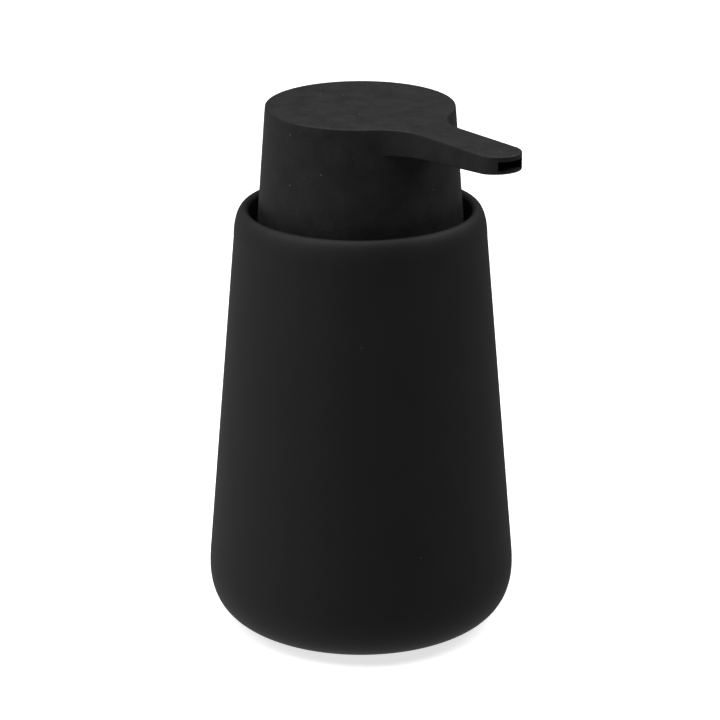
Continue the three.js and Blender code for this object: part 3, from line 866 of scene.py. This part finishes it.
    def build_housing(self) -> None:
        """The barrel with its flange, valve chamber and tube socket."""
        outer = self.barrel + self.barrel_wall
        socket_low, socket_high = self.socket_heights
        cone_low, cone_high = self.barrel_cone
        flange_low, flange_high = self.flange_heights
        seat_low, seat_high = self.seat_heights
        corners = [
            (self.socket_radius, socket_low),
            (self.socket_outer, socket_low, 0.3),
            (self.socket_outer, cone_low, 0.8),
            (outer, cone_high, 0.8),
            (outer, flange_low, 0.4),
            (self.flange, flange_low, 0.2),
            (self.flange, flange_high, 0.2),
            (self.barrel, flange_high),
            (self.barrel, self.barrel_floor),
            (self.chamber_radius, self.barrel_floor),
            (self.chamber_radius, seat_high),
            (self.throat_radius, seat_low),
            (self.throat_radius, socket_high),
            (self.socket_radius, socket_high),
        ]
        self.fit("barrel", turned(corners, 96), Finish.NATURAL_PP, "pump", "pump_housing")

    def build_gasket(self) -> None:
        """The washer under the barrel's flange."""
        inner = self.barrel + self.barrel_wall + self.gasket_clearance
        low, high = self.gasket_bottom, self.gasket_bottom + self.gasket_thickness
        corners = [(inner, low), (self.flange, low, 0.2), (self.flange, high, 0.2), (inner, high)]
        self.fit("gasket", turned(corners, 96), Finish.SILICONE, "pump", "housing_gasket")

    def build_chaplet(self) -> None:
        """The stem's guide, with a softened collar."""
        bore, guide = self.stem_radius + self.run_gap, self.barrel - self.fit_gap
        flange_low, flange_high = self.guide_flange_heights
        corners = [
            (bore, self.guide_bottom),
            (guide, self.guide_bottom, 0.2),
            (guide, flange_low),
            (self.guide_flange, flange_low, 0.2),
            (self.guide_flange, flange_high, 0.2),
            (self.guide_collar, flange_high, 0.2),
            (self.guide_collar, self.guide_top, 0.5),
            (bore, self.guide_top, 0.2),
        ]
        self.fit("stem_guide", turned(corners, 96), Finish.NATURAL_PP, "pump", "chaplet")

    def build_spring(self) -> None:
        """The return spring, a round wire on a helix.

        Height is a little slow at both ends, where the turns lie almost flat.
        """
        low, high = (c.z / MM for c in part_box("pump_spring"))
        height = high - low - 2 * self.spring_wire
        steps_per_turn = 40
        t = np.linspace(0, 1, self.spring_turns * steps_per_turn + 1)
        angle = 2 * math.pi * self.spring_turns * t
        rise = t + self.spring_flatness * (t * t * (3 - 2 * t) - t)
        path = np.stack(
            (
                self.spring_radius * np.cos(angle),
                self.spring_radius * np.sin(angle),
                low + self.spring_wire + height * rise,
            ),
            axis=-1,
        )
        tangent = np.gradient(path, axis=0)
        tangent /= np.linalg.norm(tangent, axis=1, keepdims=True)
        wire = tube_along(path, tangent, self.spring_wire)
        piece = self.fit("spring", wire, Finish.STAINLESS, "pump", "pump_spring")
        stroke = next(j for j in self.frame["joints"] if j["name"] == "head_press")["range_m"][1] / MM
        keep = (high - low - stroke) / (high - low)
        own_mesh(piece)

    def build_tube(self) -> None:
        """The dip tube, sheared at its lower end so that it is cut on the slant."""
        low, high = (c.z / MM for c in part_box("dip_tube"))
        inner, outer = self.tube_inner, self.tube_outer
        corners = [(inner, low), (outer, low), (outer, high), (inner, high)]
        surface = turned(corners, 64)
        lower = surface.points[:, 2] < low + 0.01
        slant = math.tan(math.radians(self.tube_cut)) * (outer - surface.points[:, 0])
        surface.points[:, 2] += np.where(lower, slant, 0)
        self.fit("suction_tube", surface, Finish.NATURAL_PP, "pump", "dip_tube")

    def build_ball(self) -> None:
        """The inlet ball, turned from a half circle."""
        low, high = (c.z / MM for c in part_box("inlet_ball"))
        radius = (high - low) / 2
        a = np.linspace(-math.pi / 2, math.pi / 2, 40)
        outline = np.stack((radius * np.cos(a), (low + high) / 2 + radius * np.sin(a)), axis=-1)
        outline[[0, -1], 0] = 0
        self.fit("valve_ball", revolve(outline, 64), Finish.STAINLESS, "inlet_valve", "inlet_ball")

    def build(self) -> None:
        """Every piece of the pump that stays with the plug, and the ball in its chamber."""
        self.build_plug()
        self.build_seal()
        self.build_nut()
        self.build_housing()
        self.build_gasket()
        self.build_chaplet()
        self.build_spring()
        self.build_tube()
        self.build_ball()
        self.dress("ball_cage", Finish.NATURAL_PP)


@dataclass
class Plunger(SubAssembly):
    """The stem, its rod and the piston. Sizes are in millimetres."""

    stem_radius: float = 3.6
    stem_bore: float = 1.9
    stem_bottom: float = 98.5
    stem_top: float = 128.0
    stem_foot_radius: float = 4.9
    stem_foot: float = 1.5
    stem_chamfer: float = 0.6
    piston_bore: float = 1.95
    piston_bottom: float = 94.7
    piston_top: float = 98.3
    piston_hub: float = 4.4
    lip_root: float = 4.9
    upper_lip_root: float = 5.2
    waist: float = 0.4
    wipe_radius: float = 5.95

    def build_stem(self) -> None:
        """The stem, a tube with a foot flange and a chamfered top."""
        foot_top = self.stem_bottom + self.stem_foot
        corners = [
            (self.stem_bore, self.stem_bottom),
            (self.stem_foot_radius, self.stem_bottom, 0.2),
            (self.stem_foot_radius, foot_top, 0.3),
            (self.stem_radius, foot_top, 0.3),
            (self.stem_radius, self.stem_top - self.stem_chamfer),
            (self.stem_radius - self.stem_chamfer, self.stem_top),
            (self.stem_bore, self.stem_top),
        ]
        self.fit("stem_tube", turned(corners, 72), Finish.NATURAL_PP, "plunger", "stem")

    def build_piston(self) -> None:
        """The piston, with a thin wiping lip above and below."""
        low, top, wipe = self.piston_bottom, self.piston_top, self.wipe_radius
        waist = wipe - self.waist
        corners = [
            (self.piston_bore, low),
            (self.piston_hub, low),
            (self.lip_root, low - 1),
            (wipe, low - 1.1, 0.1),
            (wipe, low - 0.4, 0.2),
            (waist, low + 0.4),
            (waist, top - 0.4),
            (wipe, top + 0.4, 0.2),
            (wipe, top + 1, 0.1),
            (wipe - 0.5, top + 1, 0.1),
            (self.upper_lip_root, top),
            (self.piston_bore, top),
        ]
        self.fit("wiper", turned(corners, 96), Finish.NATURAL_PP, "plunger", "piston")

    def build(self) -> None:
        """All three pieces."""
        self.build_stem()
        self.build_piston()
        self.dress("piston_rod", Finish.NATURAL_PP)


# ---- The head ----------------------------------------------------------------------------------
@dataclass
class Head(SubAssembly):
    """The push head: drum, beak spout, slot outlet and hollow inside. Sizes are in millimetres."""

    top_radius: float = 24.07
    flare: float = 0.0743
    wall: float = 2.0
    roof: float = 2.2
    edge: float = 0.4
    under_edge: float = 0.35
    under_blend: float = 0.8
    foot_edge: float = 0.4
    roof_round: float = 0.8
    reach: float = 59.7
    half_width: float = 5.75
    root_round: float = 14.0
    root_thickness: float = 6.65
    tip_thickness: float = 4.35
    root_at: float = 26.0
    slot_half_width: float = 3.7
    slot_roof: float = 1.3
    slot_floor: float = 3.75
    slot_back: float = 46.6
    drum_steps: int = 260
    slot_steps: int = 22

    def plan(self) -> np.ndarray:
        """The head seen from above, as one closed loop.

        The drum's circle runs round the back, a fillet tangent to it turns into the spout's side,
        the side is straight, and half a circle ends the spout. It is the same on both sides.

        Returns:
            n x 2 points, anticlockwise from where the circle meets the left fillet.
        """
        fillet_y = self.half_width + self.root_round
        fillet_x = math.sqrt((self.top_radius + self.root_round) ** 2 - fillet_y**2)
        lean = math.atan2(fillet_y, fillet_x)
        drum_angle = np.linspace(lean, 2 * math.pi - lean, self.drum_steps)
        drum = self.top_radius * np.stack((np.cos(drum_angle), np.sin(drum_angle)), axis=-1)
        turn = np.linspace(math.pi - lean, math.pi / 2, 22)[1:]
        fillet = np.stack(
            (fillet_x + self.root_round * np.cos(turn), -fillet_y + self.root_round * np.sin(turn)), axis=-1
        )
        centre = self.reach - self.half_width
        along = np.linspace(fillet_x, centre, 34)[1:-1]
        side = np.stack((along, np.full_like(along, -self.half_width)), axis=-1)
        slot_angle = math.asin(self.slot_half_width / self.half_width)
        tip_angle = np.concatenate(
            (
                np.linspace(-math.pi / 2, -slot_angle, 14)[:-1],
                np.linspace(-slot_angle, slot_angle, self.slot_steps + 1),
                np.linspace(slot_angle, math.pi / 2, 14)[1:],
            )
        )
        tip = self.half_width * np.stack((np.cos(tip_angle), np.sin(tip_angle)), axis=-1) + [centre, 0]
        mirror = np.array([1, -1])
        back = np.vstack((fillet, side))[::-1] * mirror
        return np.vstack((drum, fillet, side, tip, back[:-1]))

    def thickness(self, x: np.ndarray) -> np.ndarray:
        """How thick the spout is at x: even at the root, then thinning in a straight line."""
        share = np.clip((x - self.root_at) / (self.reach + 1 - self.root_at), 0, 1)
        return self.root_thickness + (self.tip_thickness - self.root_thickness) * share

    def build_shell(self) -> None:
        """The shell as one skin.

        Each column of the grid starts at the middle of the top, goes over the rounded edge, down the
        side and, on the spout, back along the underside to the drum. It then runs down the drum,
        round its lower edge, up the inside and to the middle of the roof. Down the side a column
        never lies inside the drum's cone. The faces in the slot are left out, and a straight tunnel
        closes the hole.
        """
        low, high = (c.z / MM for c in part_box("head_shell"))
        plan = self.plan()
        tangent = np.roll(plan, -1, axis=0) - np.roll(plan, 1, axis=0)
        tangent /= np.linalg.norm(tangent, axis=1, keepdims=True)
        outward = np.stack((tangent[:, 1], -tangent[:, 0]), axis=-1)
        columns = len(plan)
        level = np.ones(columns)

        def on_cone(flat: np.ndarray, depth: np.ndarray) -> np.ndarray:
            """Moves places out of the drum's cone.

            Args:
                flat: places seen from above.
                depth: how far below the top each one is.

            Returns:
                The places, pushed out to the cone where they lay inside it.
            """
            radius = np.linalg.norm(flat, axis=1)
            cone = self.top_radius + self.flare * depth
            return flat * (np.maximum(radius, cone) / radius)[:, None]

        def row(flat: np.ndarray, depth: np.ndarray) -> np.ndarray:
            """One ring of points at these depths below the top."""
            return np.column_stack((flat, high - depth))

        rows = [row(plan - outward * (self.edge + inset), 0 * level) for inset in (1.2, 0.3, 0)]
        for a in np.linspace(0, math.pi / 2, 6)[1:]:
            inset = self.edge * (1 - math.sin(a))
            rows.append(row(plan - outward * inset, self.edge * (1 - math.cos(a)) * level))
        thick = self.thickness(plan[:, 0])
        roof_row = len(rows)
        for depth in np.linspace(self.slot_roof, self.slot_floor, 4):
            rows.append(row(on_cone(plan, depth * level), depth * level))
        floor_row = len(rows) - 1
        radius = np.linalg.norm(plan, axis=1)
        proud = np.clip((radius - self.top_radius - self.flare * thick) / self.under_blend, 0, 1)
        for a in np.linspace(0, math.pi / 2, 5):
            depth = thick - self.under_edge * (1 - math.sin(a)) * proud
            inset = self.under_edge * (1 - math.cos(a)) * proud
            rows.append(row(on_cone(plan - outward * inset[:, None], depth), depth))
        edge_x, edge_y = rows[-1][:, 0], rows[-1][:, 1]
        root_cone = self.top_radius + self.flare * self.root_thickness
        root_x = np.where(edge_x > 0, np.sqrt(np.clip(root_cone**2 - edge_y**2, 0, None)), edge_x)
        for share in np.linspace(0, 1, 14)[1:]:
            x = edge_x + (root_x - edge_x) * share
            on_spout = proud > 0
            flat = np.column_stack((np.where(on_spout, x, edge_x), edge_y))
            depth = np.where(on_spout, self.thickness(x), thick)
            rows.append(row(on_cone(flat, depth), depth))
        angle = np.arctan2(rows[-1][:, 1], rows[-1][:, 0])
        round_drum = np.stack((np.cos(angle), np.sin(angle)), axis=-1)
        bottom = high - low
        for depth in np.linspace(self.root_thickness, bottom - self.foot_edge, 18)[1:]:
            rows.append(row(round_drum * (self.top_radius + self.flare * depth), depth * level))
        foot = self.top_radius + self.flare * bottom
        size = self.foot_edge
        for a in np.linspace(0, math.pi, 9)[1:]:
            outer, inner = size * (1 - math.cos(a)), self.wall - size * (1 + math.cos(a))
            inward = outer if a < math.pi / 2 else inner
            rows.append(row(round_drum * (foot - inward), (bottom - size * (1 - math.sin(a))) * level))
        for depth in np.linspace(bottom - 2 * size, self.roof + self.roof_round, 12):
            rows.append(row(round_drum * (self.top_radius + self.flare * depth - self.wall), depth * level))
        inner_top = self.top_radius + self.flare * self.roof - self.wall
        for a in np.linspace(0, math.pi / 2, 5)[1:]:
            inset, drop = self.roof_round * (1 - math.cos(a)), self.roof_round * (1 - math.sin(a))
            rows.append(row(round_drum * (inner_top - inset), (self.roof + drop) * level))
        points = np.array(rows)
        skin = capped_grid(points, np.array([0, 0, high]), np.array([0, 0, high - self.roof]))
        at_tip = plan[:, 0] > self.reach - self.half_width
        first = int(np.argmin(np.where(at_tip, np.abs(plan[:, 1] + self.slot_half_width), np.inf)))
        last = first + self.slot_steps
        cell = np.arange(len(skin.quads))
        cell_row, cell_column = cell // columns, cell % columns
        hole = (cell_row >= roof_row) & (cell_row < floor_row) & (cell_column >= first) & (cell_column < last)
        skin.quads = skin.quads[~hole]
        skin += self.tunnel(points[roof_row : floor_row + 1, first : last + 1])
        self.fit("push_head", skin, Finish.COATED_ABS, "head", "head_shell")

    def tunnel(self, mouth: np.ndarray) -> Surface:
        """The slot's walls and back.

        The rim of the mouth is carried straight back to one plane, where a fan closes it.

        Args:
            mouth: the grid of skin points that the slot takes the place of.

        Returns:
            An open tube with a closed far end, whose rim lies on the mouth's own points.
        """
        rim = np.vstack((mouth[0, :-1], mouth[:-1, -1], mouth[-1, :0:-1], mouth[:0:-1, 0]))
        back = rim.copy()
        back[:, 0] = self.slot_back
        count, depth_rings = len(rim), 6
        j = np.arange(count)
        share = np.linspace(0, 1, depth_rings)[:, None, None]
        rings = rim[None] * (1 - share) + back[None] * share
        last_ring, middle = (depth_rings - 1) * count, np.full(count, depth_rings * count)
        fan = np.stack((last_ring + j, last_ring + (j + 1) % count, middle), axis=-1)
        points = np.vstack((rings.reshape(-1, 3), back.mean(axis=0)))
        return Surface(points, grid_quads(depth_rings, count, False, True), fan)

    def build(self) -> None:
        """The fine shell, and finishes for the pieces inside it."""
        self.build_shell()
        for node in ("head_core", "delivery_duct"):
            self.dress(node, Finish.NATURAL_PP)
        self.dress("nozzle_insert", Finish.BLACK_PP)


# ---- Studio and camera -------------------------------------------------------------------------
@dataclass
class Studio:
    """A white table under soft boxes, and the camera. Lengths are in metres."""

    azimuth: float = 52.5
    elevation: float = 19.69
    distance: float = 0.791
    target_height: float = 0.0703
    lens: float = 152.6
    roll: float = -0.002
    sideways: float = -0.0002
    floor_glow: float = 0.77
    left_glow: float = 0.32
    glow_edge: float = -0.2
    aim_height: float = 0.07
    table_half: float = 6.0
    table_drop: float = 0.0001
    table_glow: float = 0.72

    def soft_box(
        self, name: str, azimuth: float, height: float, away: float, size: float, power: float
    ) -> None:
        """A square area light that faces the object.

        Args:
            name: the light's name.
            azimuth: where it stands round the object, in degrees, as the camera's is.
            height: its height.
            away: its distance from the axis.
            size: its side.
            power: its power in watts.
        """
        light = bpy.data.lights.new(name, "AREA")
        light.size = size
        light.energy = power
        lamp = bpy.data.objects.new(name, light)
        a = math.radians(azimuth)
        lamp.location = (away * math.sin(a), -away * math.cos(a), height)
        aim = Vector((0, 0, self.aim_height)) - lamp.location
        lamp.rotation_euler = aim.to_track_quat("-Z", "Y").to_euler()
        bpy.context.scene.collection.objects.link(lamp)

    def light(self) -> None:
        """Four high soft boxes: at the left, the right, above and above behind, in a white room."""
        self.soft_box("left_box", self.azimuth - 80, 0.8, 0.7, 0.6, 5.2)
        self.soft_box("right_box", self.azimuth + 100, 0.8, 0.7, 0.6, 6.4)
        self.soft_box("top_box", self.azimuth - 20, 1.1, 0.3, 0.7, 6.2)
        self.soft_box("back_box", self.azimuth + 160, 1.1, 0.3, 0.7, 4.2)
        self.room()

    def glow(
        self, tree: bpy.types.NodeTree, towards: tuple[float, float, float], strength: float
    ) -> bpy.types.NodeSocket:
        """Light from one side of the room.

        It rises smoothly from nothing at the edge to its strength straight along the direction, by
        the cosine between them.

        Args:
            tree: the world's tree.
            towards: the direction that it comes from.
            strength: its strength there.

        Returns:
            The strength in the direction being looked at.
        """
        direction = add_node(tree, "ShaderNodeTexCoord").outputs["Generated"]
        nearness = add_node(tree, "ShaderNodeVectorMath", {"operation": "DOT_PRODUCT"})
        tree.links.new(direction, nearness.inputs[0])
        nearness.inputs[1].default_value = towards
        rise = add_node(
            tree,
            "ShaderNodeMapRange",
            {"interpolation_type": "SMOOTHSTEP", "From Min": self.glow_edge, "To Max": strength},
            Value=nearness.outputs["Value"],
        )
        return rise.outputs["Result"]

    def room(self) -> None:
        """A room that glows from the floor and from the left, seen as plain white."""
        world = bpy.data.worlds.new("white_room")
        world.use_nodes = True
        tree = world.node_tree
        tree.nodes.clear()
        left = math.radians(self.azimuth - 90)
        both = add_node(tree, "ShaderNodeMath", {"operation": "ADD"})
        tree.links.new(self.glow(tree, (0, 0, -1), self.floor_glow), both.inputs[0])
        tree.links.new(self.glow(tree, (math.sin(left), -math.cos(left), 0), self.left_glow), both.inputs[1])
        seen = add_node(tree, "ShaderNodeLightPath").outputs["Is Camera Ray"]
        strength = add_node(tree, "ShaderNodeMix", {"data_type": "FLOAT"}, Factor=seen)
        strength.inputs[3].default_value = 1.0
        tree.links.new(both.outputs["Value"], strength.inputs[2])
        background = add_node(tree, "ShaderNodeBackground", {"Color": (1, 1, 1, 1)})
        tree.links.new(strength.outputs[0], background.inputs["Strength"])
        add_node(tree, "ShaderNodeOutputWorld", Surface=background.outputs["Background"])
        bpy.context.scene.world = world
        bpy.context.scene.view_settings.view_transform = "Standard"

    def floor(self) -> None:
        """A wide white table."""
        material, tree, _ = blank_material("white_table")
        paint = {
            "Base Color": linear("e4e4e4"),
            "Roughness": 0.9,
            "Emission Color": (1, 1, 1, 1),
            "Emission Strength": self.table_glow,
        }
        shader = add_node(tree, "ShaderNodeBsdfPrincipled", paint)
        add_node(tree, "ShaderNodeOutputMaterial", Surface=shader.outputs["BSDF"])
        mesh = bpy.data.meshes.new("table")
        side, top = self.table_half, -self.table_drop
        corners = [(-side, -side, top), (side, -side, top), (side, side, top), (-side, side, top)]
        mesh.from_pydata(corners, [], [(0, 1, 2, 3)])
        mesh.materials.append(material)
        table = bpy.data.objects.new("table", mesh)
        bpy.context.scene.collection.objects.link(table)
        table.visible_diffuse = False
        table.visible_glossy = False

    def camera(self) -> None:
        """The camera, on a sphere round its target, rolled a little about its own line of sight."""
        data = bpy.data.cameras.new("camera")
        data.lens = self.lens
        data.sensor_width = 36
        camera = bpy.data.objects.new("camera", data)
        a, e = math.radians(self.azimuth), math.radians(self.elevation)
        back = Vector((math.sin(a) * math.cos(e), -math.cos(a) * math.cos(e), math.sin(e)))
        right = Vector((math.cos(a), math.sin(a), 0))
        target = Vector((0, 0, self.target_height)) + right * self.sideways
        camera.location = target + back * self.distance
        turn = (-back).to_track_quat("-Z", "Y").to_matrix() @ Matrix.Rotation(self.roll, 3, "Z")
        camera.rotation_euler = turn.to_euler()
        bpy.context.scene.collection.objects.link(camera)
        bpy.context.scene.camera = camera

    def build(self) -> None:
        """Everything that isn't the object."""
        self.camera()
        self.floor()
        self.light()


def main() -> None:
    """Loads the frame and builds the studio and every sub-assembly round it."""
    logging.basicConfig(level=logging.INFO, format="%(name)s: %(message)s")
    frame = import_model()
    Studio().build()
    wardrobe = Wardrobe()
    for kind in (Bottle, Pump, Plunger, Head):
        kind(frame, wardrobe).build()


if __name__ == "__main__":
    main()
